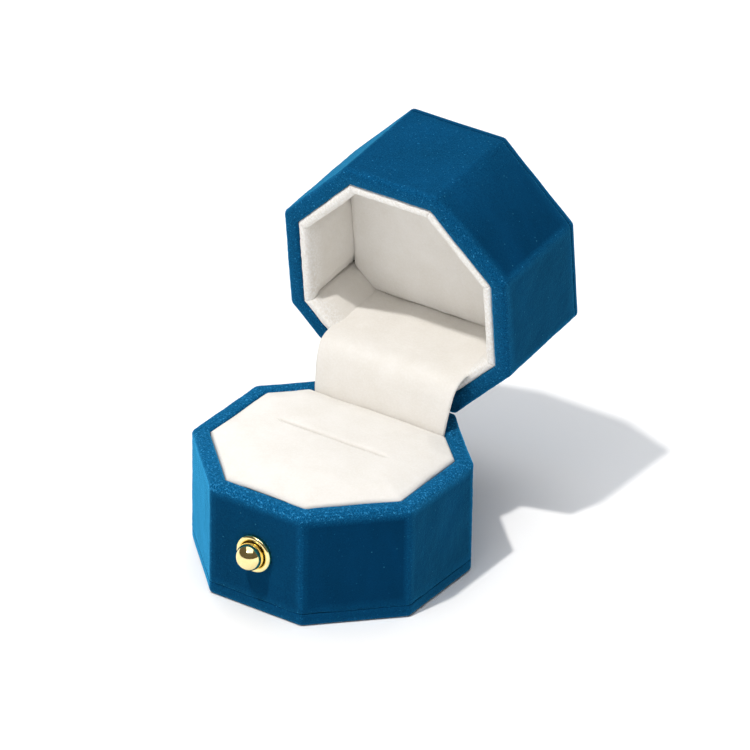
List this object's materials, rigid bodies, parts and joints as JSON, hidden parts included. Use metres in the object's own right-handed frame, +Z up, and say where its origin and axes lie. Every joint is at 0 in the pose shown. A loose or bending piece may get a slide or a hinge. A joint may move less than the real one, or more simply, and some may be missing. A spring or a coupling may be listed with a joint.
{
  "type": "ring box",
  "caption": "Octagonal velvet-covered ring box with a hinged lid, a padded slot for a ring, a lined lid cavity and a round push button on the front.",
  "frame": {"origin": "centre of the flat underside of the base", "axes": "+Z up; +Y from the button facet towards the hinge; +X to the right as seen from the button side, along the hinge pin; the lid is stored open on its stop"},
  "size_m": [0.05, 0.077, 0.0746],
  "materials": {
    "blue_velvet": "short-pile teal-blue velvet",
    "cream_velvet": "soft cream velveteen",
    "foam": "soft open-cell foam",
    "card": "grey card",
    "grey_board": "pressed grey board",
    "moulded_shell": "dark moulded plastic",
    "gold_plate": "polished gold plate",
    "hinge_steel": "nickel-plated pressed steel",
    "spring_steel": "bright spring steel",
    "magnet": "nickel-plated magnet"
  },
  "bodies": {
    "base": {"bottom_velvet": "blue_velvet", "bottom_board": "grey_board", "base_shell": "moulded_shell", "base_velvet": "blue_velvet", "cushion_board": "card", "cushion_foam": "foam", "cushion_cover": "cream_velvet", "hinge_base_leaf": "hinge_steel", "hinge_pin": "hinge_steel", "hinge_base_rivets": "hinge_steel", "snap_spring": "spring_steel", "hinge_flap": "cream_velvet", "button_bezel": "gold_plate", "bezel_nut": "hinge_steel", "button_spring": "spring_steel"},
    "lid": {"lid_top_velvet": "blue_velvet", "lid_top_board": "grey_board", "lid_shell": "moulded_shell", "lid_velvet": "blue_velvet", "lining_front": "cream_velvet", "lining_front_right": "cream_velvet", "lining_right": "cream_velvet", "lining_rear_right": "cream_velvet", "lining_rear_left": "cream_velvet", "lining_left": "cream_velvet", "lining_front_left": "cream_velvet", "lining_hinge_side": "cream_velvet", "ceiling_pad": "cream_velvet", "ceiling_card": "card", "hinge_lid_leaf": "hinge_steel", "hinge_lid_rivets": "hinge_steel", "lid_magnet": "magnet"},
    "button": {"button_ball": "gold_plate", "stem_clip": "spring_steel", "magnet_arm": "hinge_steel", "base_magnet": "magnet"}
  },
  "joints": [
    {"name": "lid_hinge", "type": "hinge", "parent": "base", "child": "lid", "pos_m": [0, 0.023, 0.024], "axis": [1, 0, 0], "range_deg": [0, 83], "deforming": ["hinge_flap"]},
    {"name": "button_press", "type": "slide", "parent": "base", "child": "button", "axis": [0, 1, 0], "range_m": [0, 0.001], "stiffness_N_per_m": 300, "springref_m": -0.001, "deforming": ["button_spring"]}
  ]
}
